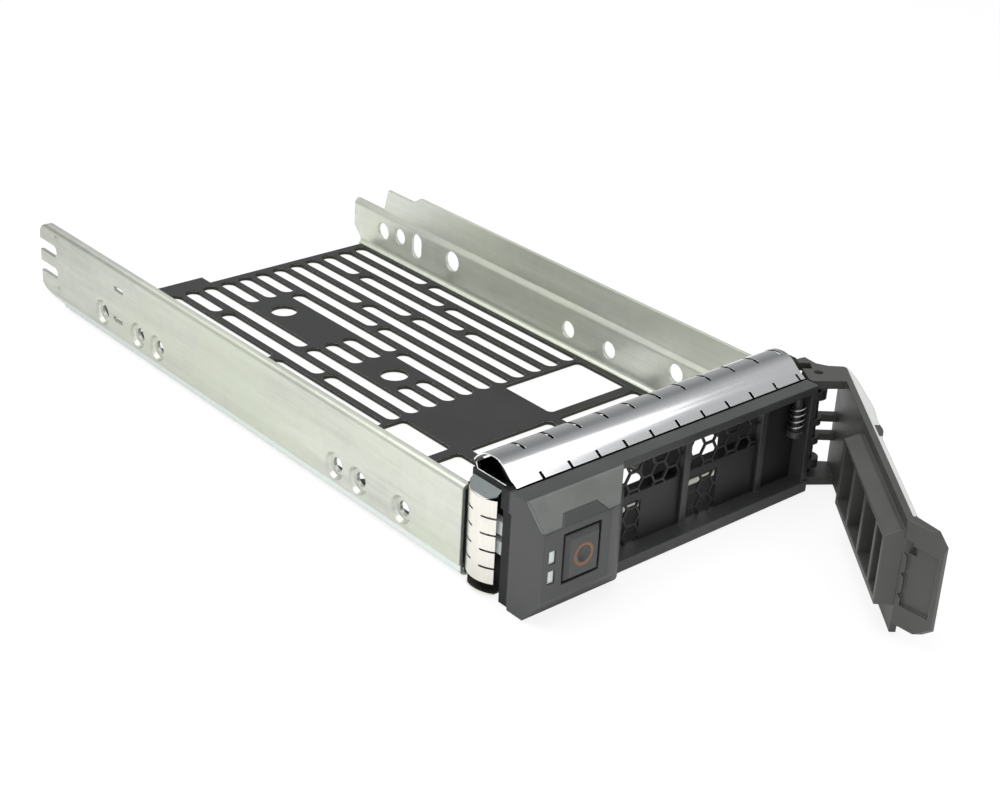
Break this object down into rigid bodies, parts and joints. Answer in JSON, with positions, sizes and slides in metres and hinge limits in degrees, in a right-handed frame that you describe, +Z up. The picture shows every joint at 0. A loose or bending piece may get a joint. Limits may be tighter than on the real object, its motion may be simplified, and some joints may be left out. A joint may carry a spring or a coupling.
{
  "type": "drive caddy",
  "caption": "Sheet-metal carrier for a 3.5 inch drive with a black plastic front, swinging handle and release button.",
  "frame": {"origin": "middle of the tray's underside, level with the button block's front face", "axes": "+X to the right seen from the front, +Y to the rear along the tray, +Z up"},
  "size_m": [0.1119, 0.2799, 0.0345],
  "materials": {
    "tray_steel": "galvanised",
    "film": "satin",
    "housing": "fine grain",
    "plate": "satin",
    "strip_steel": "bright",
    "ring": "satin",
    "lens": "clear",
    "cover": "satin",
    "spring_steel": "bright"
  },
  "bodies": {
    "frame": {"tray_pan": "tray_steel", "insulator_film": "film", "bezel_housing": "housing", "bezel_face_plate": "plate", "honeycomb_screen": "housing", "upper_light_pipe": "lens", "lower_light_pipe": "lens", "top_gasket": "strip_steel", "left_gasket": "strip_steel", "hinge_pin": "spring_steel", "handle_spring": "spring_steel", "button_spring": "spring_steel"},
    "handle": {"handle_lever": "housing", "handle_face": "cover", "handle_pad": "plate"},
    "button": {"release_button": "housing", "button_ring": "ring"},
    "latch": {"handle_latch": "housing"}
  },
  "joints": [
    {"name": "handle_hinge", "type": "hinge", "parent": "frame", "child": "handle", "pos_m": [0.0496, 0.0124, 0], "axis": [0, 0, 1], "range_deg": [-50.8, 0]},
    {"name": "button_press", "type": "slide", "parent": "frame", "child": "button", "axis": [0, 1, 0], "range_m": [0, 0.002], "stiffness_N_per_m": 250, "deforming": ["button_spring"]},
    {"name": "latch_slide", "type": "slide", "parent": "frame", "child": "latch", "axis": [-1, 0, 0], "range_m": [0, 0.0015]}
  ],
  "couplings": [
    {"joint": "latch_slide", "follows": "button_press", "ratio": 0.75}
  ]
}
